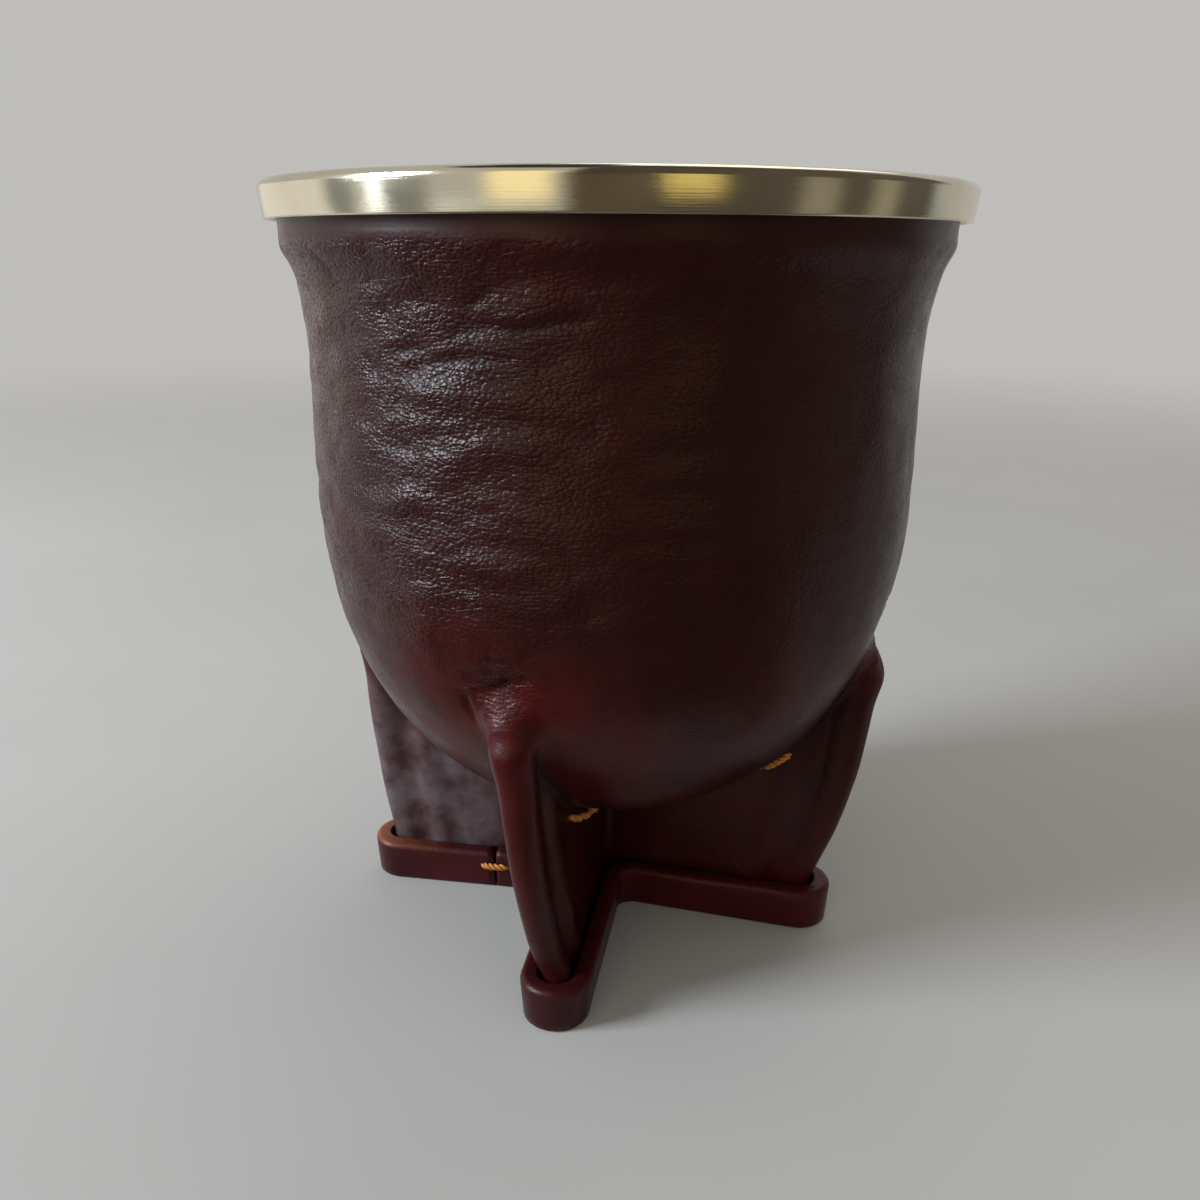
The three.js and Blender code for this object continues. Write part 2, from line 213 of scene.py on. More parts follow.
# The same on top of each fin, as (distance across the fin, height)
FIN_CREASES = (
    (0.5, ((-4.6, 46.7), (-1.9, 47.3), (1.3, 48.8), (4.2, 49.5))),
    (0.32, ((-5, 48.8), (-2.5, 49.9), (0.6, 50.4), (2.2, 50.2))),
    (0.32, ((-5, 46.9), (-5.6, 45.1), (-4.6, 42.6))),
    (0.3, ((-3.6, 51.4), (-0.4, 52.2), (3, 51.6))),
    (0.24, ((-4.2, 47.9), (-1.5, 48.8), (0.8, 49.6))),
    (0.22, ((-3.2, 45.6), (-0.6, 46.4), (2.4, 47.2))),
    (0.2, ((-2.6, 44.3), (0.4, 45.2), (3, 45.6))),
    (0.24, ((1.8, 50.9), (3.8, 52.6), (5.6, 53.4))),
)
WRINKLED_SIDE = math.radians(-114)
BACK_SIDE = math.radians(100)
BACK_SHARE = 0.5  # wrinkles and grain of the back, against those of the front left
WALL_LOW = 46  # the wall's grain and wrinkles grow from here
WALL_HIGH = 60
GRAIN_HIGH = 62
COLLAR_EDGE = 97.2  # lower edge of the smooth strip under the rim
COLLAR_LOW = 96.4
COLLAR_HIGH = 99.3
COLLAR_RISE = 0.35
COLLAR_WIDTH = 1.6
COLLAR_PINCH = 0.5  # the rim holds it in at the top
LUMPS = ((11, 0.16, (0, 0, 0)), (4.5, 0.08, (4, 2, 8)))  # size, height and place in the noise
WRINKLE_DEPTH = 0.16
WRINKLE_SIZE = (9, 9, 2.6)
WRINKLE_WIDTH = 0.16
WRINKLE_BEND = 1.8
WRINKLE_BEND_SIZE = 8
SWELL_DEPTH = 0.48  # soft folds round the front left of the wall
SWELL_SIZE = (7, 7, 2.8)
GATHER_DEPTH = 0.34  # small folds on top of each fin
GATHER_SIZE = (2.6, 2.6, 1.7)
GATHER_Z = 48.5
PINCH_DEPTH = 0.8  # hollow across the top of each fin, over its fold
PINCH_Z = 47.6
PINCH_WIDTH = 2
PINCH_REACH = 4
PINCH_SLANT = 0.25
KNUCKLE_RISE = 0.7  # the fold swells below that hollow
KNUCKLE_Z = 41.2
KNUCKLE_WIDTH = 3.8
FOOT_EDGE_IN = 0.5  # the cover's lower edge is drawn in
FOOT_EDGE_HEIGHT = 0.8

# Marks on the cover: shares of its looks, and heights and distances between which they come or go
COLLAR_STEP = 0.3
COLLAR_FADE = 0.8
LEAST_WRINKLES = 0.06
TOP_WRINKLES = 1.6
LEAST_GRAIN = 0.12
FIN_GRAIN = 0.2
COLLAR_GRAIN = 0.05
# Shares of the painted shade in single creases and in broad wrinkles
CREASE_SHADE = 1.6
WRINKLE_SHADE = 0.3
RED_WALL = 0.3
RED_FINS = 0.4
RED_FADE = (40, 58)
RED_TOPS = 0.8
FOLD_END = (50, 56)
# Where the painted sheen lies on the front of the left fin
SHEEN_ALONG = (12, 20)
SHEEN_ACROSS = (4, 7)
SHEEN_END = (26, 40)
# Painted shade where the fins run in under the bowl
UNDER_SHADE_WIDTH = 1.3
UNDER_SHADE_END = (34, 46)


def smoothstep(low, high, x):
    share = np.clip((x - low) / (high - low), 0, 1)
    return share * share * (3 - 2 * share)


def bump(x, middle, width):
    return np.exp(-(((x - middle) / width) ** 2))


def smooth_min(a, b, width):
    share = np.clip(0.5 + 0.5 * (b - a) / width, 0, 1)
    return b + (a - b) * share - width * share * (1 - share)


def at_least(low, share):
    return low + (1 - low) * share


def bezier(a, b, c, d, steps):
    t = np.linspace(0, 1, steps + 1)[:, None]
    u = 1 - t
    near = u**3 * np.array(a) + 3 * u * u * t * np.array(b)
    return near + 3 * u * t * t * np.array(c) + t**3 * np.array(d)


# Profiles, as rows of (radius, height)
def body_profile(floor_z, belly_r, waist_r, neck_r, top_z, fine):
    low_handle = (BOWL_FLOOR_HANDLE, floor_z)
    side_handle = (belly_r, BELLY_Z - BOWL_SIDE_HANDLE)
    bowl = bezier((0, floor_z), low_handle, side_handle, (belly_r, BELLY_Z), 5 * fine)
    middle = (BELLY_Z + WAIST_Z) / 2
    waist = bezier((belly_r, BELLY_Z), (belly_r, middle), (waist_r, middle), (waist_r, WAIST_Z), fine)
    low_handle = (waist_r, WAIST_Z + FLARE_LOW_HANDLE)
    high_handle = (neck_r, NECK_Z - FLARE_HIGH_HANDLE)
    flare = bezier((waist_r, WAIST_Z), low_handle, high_handle, (neck_r, NECK_Z), 2 * fine)
    return np.concatenate([bowl, waist[1:], flare[1:], [(neck_r, top_z)]])


def inset(profile, distance):
    along = np.gradient(profile, axis=0)
    along /= np.linalg.norm(along, axis=1)[:, None]
    moved = profile + distance * np.stack([-along[:, 1], along[:, 0]], axis=1)
    moved[0] = (0, profile[0, 1] + distance)
    moved[-1] = (profile[-1, 0] - distance, profile[-1, 1])
    return moved


def above(profile, z):
    start = (np.interp(z, profile[:, 1], profile[:, 0]), z)
    return np.concatenate([[start], profile[profile[:, 1] > z]])


def bend(middle_r, middle_z, radius, start, end, steps=8):
    angle = np.linspace(start, end, steps + 1)
    return np.stack([middle_r + radius * np.cos(angle), middle_z + radius * np.sin(angle)], axis=1)


LEATHER_OUTSIDE = body_profile(LEG_HEIGHT, BELLY_R, WAIST_R, NECK_R, RIM_SEAT_Z, PROFILE_STEPS)
GOURD_INSIDE = body_profile(
    LEG_HEIGHT + SKIN + GOURD_FLOOR,
    BELLY_R - SKIN - GOURD_WALL,
    WAIST_R - SKIN - GOURD_WALL,
    NECK_R - SKIN - GOURD_MOUTH_WALL,
    RIM_SEAT_Z,
    fine=10,
)


def bowl_radius(z):
    return np.interp(z, LEATHER_OUTSIDE[:, 1], LEATHER_OUTSIDE[:, 0], left=0)


# Distance to the body, from a table over radius and height
TABLE_STEP = 0.25
TABLE_R = np.arange(0, 56, TABLE_STEP)
TABLE_Z = np.arange(-4, 112, TABLE_STEP)


def body_table():
    radius, height = np.meshgrid(TABLE_R, TABLE_Z, indexing="ij")
    nearest = np.full(radius.shape, 1e9)
    for start, end in zip(LEATHER_OUTSIDE[:-1], LEATHER_OUTSIDE[1:]):
        run = end - start
        share = ((radius - start[0]) * run[0] + (height - start[1]) * run[1]) / (run @ run)
        share = np.clip(share, 0, 1)
        away = np.hypot(radius - start[0] - share * run[0], height - start[1] - share * run[1])
        nearest = np.minimum(nearest, away)
    inside = (height > LEG_HEIGHT) & (radius < bowl_radius(height))
    return np.where(inside, -nearest, nearest)


BODY_TABLE = body_table()


def body_distance(points):
    column = np.hypot(points[:, 0], points[:, 1]) / TABLE_STEP
    row = (points[:, 2] - TABLE_Z[0]) / TABLE_STEP
    i = np.clip(column.astype(int), 0, len(TABLE_R) - 2)
    j = np.clip(row.astype(int), 0, len(TABLE_Z) - 2)
    a = column - i
    b = row - j
    low = BODY_TABLE[i, j] * (1 - a) + BODY_TABLE[i + 1, j] * a
    high = BODY_TABLE[i, j + 1] * (1 - a) + BODY_TABLE[i + 1, j + 1] * a
    return low * (1 - b) + high * b


# Fins, each in its own frame: along its heading from the middle of the foot, across it and up
def heading_at(fin, z):
    risen = np.clip((z - WELT_HEIGHT) / (FIN_ROOT_Z - WELT_HEIGHT), 0, 1)
    return np.radians(fin["heading"] + fin["twist"] * np.sqrt(risen))


def on_fin(fin, along, across, z):
    along, across, z = np.broadcast_arrays(along, across, z)
    heading = heading_at(fin, z)
    x = FOOT[0] + along * np.cos(heading) - across * np.sin(heading)
    y = FOOT[1] + along * np.sin(heading) + across * np.cos(heading)
    return np.stack([x, y, z], axis=-1)


def in_fin(fin, points):
    heading = heading_at(fin, points[:, 2])
    x = points[:, 0] - FOOT[0]
    y = points[:, 1] - FOOT[1]
    return x * np.cos(heading) + y * np.sin(heading), y * np.cos(heading) - x * np.sin(heading)


def along_at(fin, radius, z, across=0):
    heading = heading_at(fin, z)
    forward = FOOT[0] * np.cos(heading) + FOOT[1] * np.sin(heading)
    aside = FOOT[1] * np.cos(heading) - FOOT[0] * np.sin(heading) + across
    return np.sqrt(np.maximum(radius**2 - aside**2, 0)) - forward


def edge_table(fin, steps=40):
    """Heights and radii of a fin's outer edge, and radii of its fold, from the table up to the bowl."""
    toe = ARM_REACH - FIN_TO_WELT
    foot_r = np.linalg.norm(on_fin(fin, toe, 0, 0)[:2])
    root_r = bowl_radius(FIN_ROOT_Z) - FIN_ROOT_INSET
    edge = bezier((foot_r, WELT_HEIGHT), FIN_SHIN, FIN_SHOULDER, (root_r, FIN_ROOT_Z), steps)
    edge[:, 0] += KNEE_RISE * bump(edge[:, 1], KNEE_Z, KNEE_WIDTH)
    edge[:, 0] -= KNEE_SINK * smoothstep(KNEE_Z, KNEE_Z + 2 * KNEE_WIDTH, edge[:, 1])
    fold = np.linspace(FOLD_R_FOOT, FOLD_R_TOP, len(edge))
    sunk = (root_r - 4 * FIN_ROOT_INSET, FIN_ROOT_Z + 2 * FIN_ROOT_INSET)
    edge = np.concatenate([[(foot_r, 0)], edge, [sunk]])
    return edge[:, 1], edge[:, 0], np.concatenate([[FOLD_R_FOOT], fold, [FOLD_R_TOP]])


EDGES = [edge_table(fin) for fin in FINS]


def fold_at(which, z):
    """How far along a fin the middle of its fold lies, and the fold's radius."""
    height, radius, fold = EDGES[which]
    fold_r = np.interp(z, height, fold)
    return along_at(FINS[which], np.interp(z, height, radius), z) - fold_r, fold_r


def fin_distance(which, points):
    along, across = in_fin(FINS[which], points)
    middle, fold_r = fold_at(which, points[:, 2])
    back = middle - along
    plump = np.exp(-((np.maximum(back, 0) / FOLD_FADE) ** 2))
    half = FIN_HALF_THICKNESS + (fold_r - FIN_HALF_THICKNESS) * plump
    half += PILLOW_RISE * bump(back, PILLOW_BACK, PILLOW_WIDTH)
    half -= GROOVE_DEPTH * bump(back, GROOVE_BACK, GROOVE_WIDTH)
    flank = np.hypot(np.minimum(along, 0), across) - half
    return np.where(back > 0, flank, np.hypot(back, across) - fold_r)


def cover_field(points):
    fins = fin_distance(0, points)
    for which in range(1, len(FINS)):
        fins = smooth_min(fins, fin_distance(which, points), CORNER_BLEND)
    width = BLEND_LOW + (BLEND_HIGH - BLEND_LOW) * smoothstep(BLEND_FROM, WALL_LOW, points[:, 2])
    return smooth_min(body_distance(points), fins, width)


def field_slope(field, points, reach=0.06):
    slope = np.empty_like(points)
    for axis in range(3):
        step = np.zeros(3)
        step[axis] = reach
        slope[:, axis] = (field(points + step) - field(points - step)) / (2 * reach)
    return slope


def settle(field, points, rounds=7, longest=0.8):
    """Moves points on to the surface where the field is zero, and gives the outward directions there."""
    flat = points[:, 2] <= 0
    for _ in range(rounds):
        slope = field_slope(field, points)
        slope[flat, 2] = 0
        size = np.maximum((slope**2).sum(axis=1), 0.05)
        step = -(field(points) / size)[:, None] * slope
        length = np.linalg.norm(step, axis=1)
        points = points + step * np.minimum(1, longest / np.maximum(length, 1e-9))[:, None]
    slope = field_slope(field, points)
    slope[flat, 2] = 0
    return points, slope / np.maximum(np.linalg.norm(slope, axis=1), 1e-9)[:, None]


# Columns of the cover's rings
def fin_columns(which, z):
    """A fin's columns at a level: out along one flank, round the fold and back along the other."""
    fin = FINS[which]
    middle, fold_r = fold_at(which, z)
    corner = 2 * FIN_HALF_THICKNESS
    root = max(corner, along_at(fin, bowl_radius(z), z, FIN_HALF_THICKNESS))
    root = min(root, middle - FIN_HALF_THICKNESS)
    share = np.linspace(0, 1, FLANK_COLUMNS, endpoint=False)
    out_along = root + (middle - root) * share
    out_across = FIN_HALF_THICKNESS + (fold_r - FIN_HALF_THICKNESS) * share
    turn = np.linspace(-QUARTER, QUARTER, FOLD_COLUMNS)
    along = np.concatenate([out_along, middle + fold_r * np.cos(turn), out_along[::-1]])
    across = np.concatenate([-out_across, fold_r * np.sin(turn), out_across[::-1]])
    return on_fin(fin, along, across, z)


def fan_columns(which, z):
    """The same columns where they lie on the bowl, spread to both sides of the fin."""
    middle, fold_r = fold_at(which, min(z, FIN_ROOT_Z))
    x, y = on_fin(FINS[which], middle + fold_r, 0, min(z, FIN_ROOT_Z))[:2]
    radius = bowl_radius(z)
    even = math.pi * FIN_COLUMNS / (len(FINS) * (FIN_COLUMNS + ARC_COLUMNS))
    near = FAN_HALF_WIDTH / max(radius, FAN_HALF_WIDTH)
    half = near + (even - near) * smoothstep(FAN_HIGH, EVEN_Z, z)
    angle = math.atan2(y, x) + np.linspace(-half, half, FIN_COLUMNS)
    return np.stack([radius * np.cos(angle), radius * np.sin(angle), np.full(FIN_COLUMNS, z)], axis=1)


def arc_columns(start, end, z):
    """Columns between two fins, on the bowl or round the inner corner."""
    share = np.linspace(0, 1, ARC_COLUMNS + 2)[1:-1]
    first = math.atan2(start[1], start[0])
    turn = (math.atan2(end[1], end[0]) - first) % (2 * math.pi)
    if turn > math.pi:
        turn -= 2 * math.pi
    angle = first + turn * share
    chord = np.hypot(*start[:2]) * (1 - share) + np.hypot(*end[:2]) * share
    radius = np.maximum(chord, bowl_radius(z))
    return np.stack([radius * np.cos(angle), radius * np.sin(angle), np.full(ARC_COLUMNS, z)], axis=1)


def cover_ring(z):
    spread = smoothstep(FAN_LOW, FAN_HIGH, z)
    fins = [fin_columns(i, z) * (1 - spread) + fan_columns(i, z) * spread for i in range(len(FINS))]
    parts = []
    for i, columns in enumerate(fins):
        following = fins[(i + 1) % len(fins)]
        parts += [columns, arc_columns(columns[-1], following[0], z)]
    return np.concatenate(parts)


def cover_levels():
    """Heights of the rings: even along the legs, then even along the curve of the bowl and up the wall."""
    legs = np.arange(0, LEG_HEIGHT, FOOT_STEP)
    run = np.linalg.norm(np.diff(LEATHER_OUTSIDE, axis=0), axis=1)
    length = np.concatenate([[0], np.cumsum(run)])
    heights = LEATHER_OUTSIDE[:, 1]
    low = np.interp(2 * FIN_HALF_THICKNESS, LEATHER_OUTSIDE[:BOWL_ROWS, 0], length[:BOWL_ROWS])
    middle = np.interp(FIN_ROOT_Z, heights, length)
    bowl = np.linspace(low, middle, round((middle - low) / BOWL_STEP), endpoint=False)
    wall = np.linspace(middle, length[-1], round((length[-1] - middle) / WALL_STEP))
    return np.concatenate([legs, np.interp(np.concatenate([bowl, wall]), length, heights)])


# Meshes
def grid_faces(rows, columns, close_rows=False, close_columns=True):
    """Quads between rows of points, each row running counter-clockwise seen from the last one."""
    first = np.arange(rows if close_rows else rows - 1)[:, None] * columns
    here = np.arange(columns if close_columns else columns - 1)[None, :]
    beside = (here + 1) % columns
    upper = (first + columns) % (rows * columns)
    quads = np.stack([first + here, first + beside, upper + beside, upper + here], axis=-1)
    return quads.reshape(-1, 4).tolist()


def add_object(name, data):
    made = bpy.data.objects.new(name, data)
    bpy.context.scene.collection.objects.link(made)
    return made


def mesh_object(name, points, faces, material):
    mesh = bpy.data.meshes.new(name)
    mesh.from_pydata(points, [], faces)
    mesh.materials.append(material)
    return add_object(name, mesh)


def make_piece(name, points, faces, material, replaced, attributes=None):
    piece = mesh_object(name, (np.asarray(points) * MM).tolist(), faces, material)
    piece.data.shade_smooth()
    for label, values in (attributes or {}).items():
        layer = piece.data.attributes.new(label, "FLOAT", "POINT")
        layer.data.foreach_set("value", np.asarray(values, np.float32))
    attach(piece, "root")
    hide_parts(replaced)


def noise_at(points, size, offset=(0, 0, 0)):
    """Smooth noise from about -1 to 1, with lumps of that size, which can differ along the three axes."""
    places = np.asarray(points) / np.broadcast_to(size, 3) + np.asarray(offset)
    return np.array([noise.noise(place) for place in places.tolist()])


# Material nodes, each in the same tree as the outputs that feed it
MIX_SHARE, MIX_A, MIX_B, MIX_RESULT = 0, 6, 7, 2  # sockets of a node that mixes colours


def feed(node, inputs):
    """Sets inputs of a node, to plain values or to outputs of other nodes."""
    for key, value in inputs.items():
        if isinstance(value, bpy.types.NodeSocket):
            node.id_data.links.new(value, node.inputs[key])
        else:
            node.inputs[key].default_value = value


def add_node(tree, kind, inputs=None, **settings):
    made = tree.nodes.new(kind)
    for key, value in settings.items():
        setattr(made, key, value)
    feed(made, inputs or {})
    return made


def new_material(name):
    material = bpy.data.materials.new(name)
    material.use_nodes = True
    tree = material.node_tree
    places = add_node(tree, "ShaderNodeTexCoord").outputs["Object"]
    return material, tree.nodes["Principled BSDF"], places


def in_millimetres(places, scale=(1, 1, 1)):
    inputs = {"Vector": places, "Scale": tuple(s / MM for s in scale)}
    return add_node(places.id_data, "ShaderNodeMapping", inputs).outputs["Vector"]


def math_node(operation, a, b=0.0):
    return add_node(a.id_data, "ShaderNodeMath", {0: a, 1: b}, operation=operation).outputs[0]


def times(a, b):
    return math_node("MULTIPLY", a, b)


def plus(a, b):
    return math_node("ADD", a, b)


def mix_colours(share, a, b):
    a, b = ((*c, 1) if isinstance(c, tuple) else c for c in (a, b))
    inputs = {MIX_SHARE: share, MIX_A: a, MIX_B: b}
    return add_node(share.id_data, "ShaderNodeMix", inputs, data_type="RGBA").outputs[MIX_RESULT]


def ramp(value, low, high, to_low=0.0, to_high=1.0):
    inputs = {"Value": value, "From Min": low, "From Max": high, "To Min": to_low, "To Max": to_high}
    node = add_node(value.id_data, "ShaderNodeMapRange", inputs, interpolation_type="SMOOTHSTEP")
    return node.outputs["Result"]


def attribute(tree, name):
    return add_node(tree, "ShaderNodeAttribute", attribute_name=name).outputs["Fac"]


def noise_node(places, scale, detail=3.0, roughness=0.55, distortion=0.0):
    inputs = {"Vector": places, "Scale": scale, "Detail": detail, "Roughness": roughness}
    inputs["Distortion"] = distortion
    return add_node(places.id_data, "ShaderNodeTexNoise", inputs).outputs["Fac"]


def voronoi_node(places):
    inputs = {"Vector": places, "Scale": 1.0, "Randomness": 1.0}
    return add_node(places.id_data, "ShaderNodeTexVoronoi", inputs).outputs["Distance"]


def bump_node(height, depth, strength=1.0, below=None):
    inputs = {"Height": height, "Strength": strength, "Distance": depth * MM}
    if below is not None:
        inputs["Normal"] = below
    return add_node(height.id_data, "ShaderNodeBump", inputs).outputs["Normal"]


# Materials
LEATHER_MARKS = ("wear", "crease", "grain", "wrinkle", "red", "raw", "painted_sheen")
SHADE_LIGHTNESS = 0.3  # lightness of the painted shade in creases and between the pebbles, against the dark of the leather

# Patterns, as waves in a millimetre
CLOUDS = 0.045
MOTTLE = 0.22
SHEEN_CLOUDS = 0.26
FINE_GRAIN = 2.8
PEBBLES = (1.8, 1.8, 2.7)
WRINKLE_LINES = (0.17, 0.17, 0.72)
POLISH_LINES = (0.04, 0.04, 9)
SMUDGES = 0.09
GOURD_FIBRES = (1.1, 1.1, 0.12)
GOURD_STAINS = 0.07
THREAD_FIBRES = 3.0

# Colours
# Painted sheen: grey that stands in for a reflection on the left fin
SHEEN_GREY = (0.116, 0.09, 0.1)
NICKEL_BRIGHT = (0.74, 0.69, 0.545)
NICKEL_DULL = (0.66, 0.6, 0.44)
GOURD_PALE = (0.5, 0.33, 0.16)
GOURD_BROWN = (0.34, 0.2, 0.085)
GOURD_STAINED = (0.17, 0.12, 0.04)
THREAD_DARK = (0.36, 0.12, 0.015)
THREAD_LIGHT = (0.54, 0.22, 0.035)


def leather_dye(marks, spots, mottle, colours):
    """Mottled from dark to red, worn on the folds, raw on a cut edge, with a painted grey sheen where the
    mesh marks it.
    """
    dark, body, worn, raw = colours
    patches = plus(times(mottle, 0.45), noise_node(spots, CLOUDS, 4.0))
    red = times(ramp(patches, 0.55, 0.9, 0.25, 1.0), marks["red"])
    colour = mix_colours(ramp(red, 0.0, 1.0), dark, body)
    colour = mix_colours(ramp(marks["wear"], 0.1, 1.0, 0.0, 0.25), colour, worn)
    colour = mix_colours(marks["raw"], colour, raw)
    # Painted sheen: grey mixed in as a reflection on the front of the left fin
    sheen = ramp(noise_node(spots, SHEEN_CLOUDS, 4.0, 0.5), 0.15, 0.85)
    return mix_colours(times(sheen, marks["painted_sheen"]), colour, SHEEN_GREY)


def painted_hollow_shade(marks, pebble):
    """Share of painted shade, between the pebbles and in creases."""
    valley = times(ramp(pebble, 0.3, 0.75, 0.0, 0.4), marks["grain"])
    return math_node("MAXIMUM", valley, ramp(marks["crease"], 0.1, 1.0, 0.0, 0.8))


def leather_roughness(marks, mottle, pebble):
    """Least on top of the pebbles, more between them, in creases and where there is no grain."""
    rough = ramp(mottle, 0.3, 0.7, 0.13, 0.24)
    hollow = times(ramp(pebble, 0.25, 0.7, 0.0, 0.2), marks["grain"])
    plain = ramp(marks["grain"], 0.0, 0.8, 0.15, 0.0)
    worn = times(marks["wear"], 0.06)
    creased = times(marks["crease"], 0.2)
    for added in (hollow, plain, worn, creased):
        rough = plus(rough, added)
    return rough


def leather_relief(marks, places, spots, pebble):
    """Fine wrinkles, and the pebbles of the grain over them."""
    lines = noise_node(in_millimetres(places, WRINKLE_LINES), 1.0, 2.0, 0.5, 0.7)
    ridges = math_node("ABSOLUTE", math_node("SUBTRACT", lines, 0.5))
    wrinkle = times(ramp(ridges, 0.0, 0.09), marks["wrinkle"])
    fine = times(noise_node(spots, FINE_GRAIN, 3.0, 0.6), 0.5)
    domes = math_node("SUBTRACT", fine, times(pebble, pebble))
    return bump_node(times(domes, marks["grain"]), 0.1, 1.0, bump_node(wrinkle, 0.035))


def leather_material(name, dark, body, worn, raw):
    """Waxed leather; marks on the mesh say where it is red, worn, raw, creased with painted shade,
    grained, wrinkled and given a painted sheen.
    """
    material, shader, places = new_material(name)
    marks = {label: attribute(material.node_tree, label) for label in LEATHER_MARKS}
    spots = in_millimetres(places)
    mottle = noise_node(spots, MOTTLE, 4.0)
    pebble = voronoi_node(in_millimetres(places, PEBBLES))
    colour = leather_dye(marks, spots, mottle, (dark, body, worn, raw))
    # Painted shade: darker between the pebbles and in creases
    shade_colour = tuple(SHADE_LIGHTNESS * c for c in dark)
    colour = mix_colours(painted_hollow_shade(marks, pebble), colour, shade_colour)
    rough = leather_roughness(marks, mottle, pebble)
    relief = leather_relief(marks, places, spots, pebble)
    feed(shader, {"Base Color": colour, "Roughness": rough, "Normal": relief, "Specular IOR Level": 0.21})
    return material


def metal_material():
    material, shader, places = new_material("nickel_silver")
    lines = noise_node(in_millimetres(places, POLISH_LINES), 1.0, 3.0, 0.7)
    smudges = noise_node(in_millimetres(places), SMUDGES, 3.0)
    colour = mix_colours(ramp(smudges, 0.35, 0.7), NICKEL_BRIGHT, NICKEL_DULL)
    rough = plus(ramp(smudges, 0.3, 0.75, 0.08, 0.13), times(lines, 0.06))
    relief = bump_node(lines, 0.008)
    feed(shader, {"Base Color": colour, "Metallic": 1, "Roughness": rough, "Normal": relief})
    return material


def gourd_material():
    material, shader, places = new_material("gourd_shell")
    fibres = noise_node(in_millimetres(places, GOURD_FIBRES), 1.0, 4.0)
    stains = noise_node(in_millimetres(places), GOURD_STAINS, 4.0)
    colour = mix_colours(ramp(fibres, 0.3, 0.7), GOURD_PALE, GOURD_BROWN)
    colour = mix_colours(ramp(stains, 0.45, 0.75, 0.0, 0.7), colour, GOURD_STAINED)
    rough = ramp(fibres, 0.2, 0.8, 0.62, 0.85)
    feed(shader, {"Base Color": colour, "Roughness": rough, "Normal": bump_node(fibres, 0.3, 0.5)})
    return material


def thread_material():
    material, shader, places = new_material("waxed_thread")
    fibres = noise_node(in_millimetres(places), THREAD_FIBRES, 3.0)
    colour = mix_colours(ramp(fibres, 0.3, 0.7), THREAD_DARK, THREAD_LIGHT)
    rough = ramp(fibres, 0.2, 0.8, 0.5, 0.75)
    feed(shader, {"Base Color": colour, "Roughness": rough, "Normal": bump_node(fibres, 0.08, 0.4)})
    return material


COVER_LEATHER = leather_material(
    "cover_leather",
    dark=(0.022, 0.0038, 0.003),
    body=(0.052, 0.0027, 0.003),
    worn=(0.05, 0.0036, 0.0034),
    raw=(0.17, 0.055, 0.022),
)
WELT_LEATHER = leather_material(
    "welt_leather",
    dark=(0.02, 0.0026, 0.0032),
    body=(0.05, 0.0036, 0.005),
    worn=(0.075, 0.0075, 0.0075),
    raw=(0.19, 0.06, 0.024),
)
NICKEL_SILVER = metal_material()
GOURD_SHELL = gourd_material()
WAXED_THREAD = thread_material()


# Cover
def line_depth(flat, line):
    """How deep a crease is at each point of a flat map, from 0 to 1, fading towards its ends."""
    line = np.array(line)
    depth = np.zeros(len(flat))
    steps = np.linalg.norm(np.diff(line, axis=0), axis=1)
    reached = np.concatenate([[0], np.cumsum(steps)]) / steps.sum()
    for k, (start, end) in enumerate(zip(line[:-1], line[1:])):
        run = end - start
        share = np.clip((flat - start) @ run / (run @ run), 0, 1)
        away = np.linalg.norm(flat - start - share[:, None] * run, axis=1)
        place = reached[k] + share * (reached[k + 1] - reached[k])
        depth = np.maximum(depth, bump(away, 0, CREASE_WIDTH) * (4 * place * (1 - place)) ** 0.5)
    return depth


def creases(points):
    """Depth of the single creases, on the wall and on top of each fin."""
    around = np.arctan2(points[:, 1], points[:, 0]) * BELLY_R
    flat = np.stack([around, points[:, 2]], axis=1)
    depth = np.zeros(len(points))
    for deep, line in CREASES:
        unrolled = [(math.radians(heading) * BELLY_R, z) for heading, z in line]
        depth = np.maximum(depth, deep * line_depth(flat, unrolled))
    for which, fin in enumerate(FINS):
        along, across = in_fin(fin, points)
        flip = 1 if which % 2 == 0 else -1
        flat = np.stack([flip * across, points[:, 2]], axis=1)
        for deep, line in FIN_CREASES:
            depth = np.maximum(depth, deep * line_depth(flat, line) * (along > 0))
    return depth


def slack(points, sharpness=4):
    """1 on the front left of the cup, where its leather is most wrinkled, and less on the back."""
    angle = np.arctan2(points[:, 1], points[:, 0])
    front = (0.5 + 0.5 * np.cos(angle - WRINKLED_SIDE)) ** sharpness
    back = (0.5 + 0.5 * np.cos(angle - BACK_SIDE)) ** 4
    return np.maximum(front, BACK_SHARE * back)


def fin_tops(points, width=6, depth=5.5):
    """1 where the leather is gathered on top of a fin, fading to 0 round it."""
    level = bump(points[:, 2], GATHER_Z, depth)
    tops = np.zeros(len(points))
    for fin in FINS:
        along, across = in_fin(fin, points)
        tops = np.maximum(tops, bump(across, 0, width) * level * (along > 0))
    return tops


def pinches(points):
    """Share of the hollow that crosses the top of each fin a little aslant."""
    hollow = np.zeros(len(points))
    for which, fin in enumerate(FINS):
        along, across = in_fin(fin, points)
        slant = PINCH_SLANT if which % 2 == 0 else -PINCH_SLANT
        line = bump(points[:, 2] - slant * across, PINCH_Z, PINCH_WIDTH)
        hollow = np.maximum(hollow, line * bump(across, 0, PINCH_REACH) * (along > 0))
    return hollow


def wrinkles(points):
    """Share of the broad wrinkles, from noise stretched round the cup."""
    bends = [noise_at(points, WRINKLE_BEND_SIZE, (3, 1, 7 + k)) for k in range(3)]
    flat = points + WRINKLE_BEND * np.stack(bends, axis=1)
    lines = 1 - np.abs(noise_at(flat, WRINKLE_SIZE)) / WRINKLE_WIDTH
    return np.clip(lines, 0, 1) ** 1.5


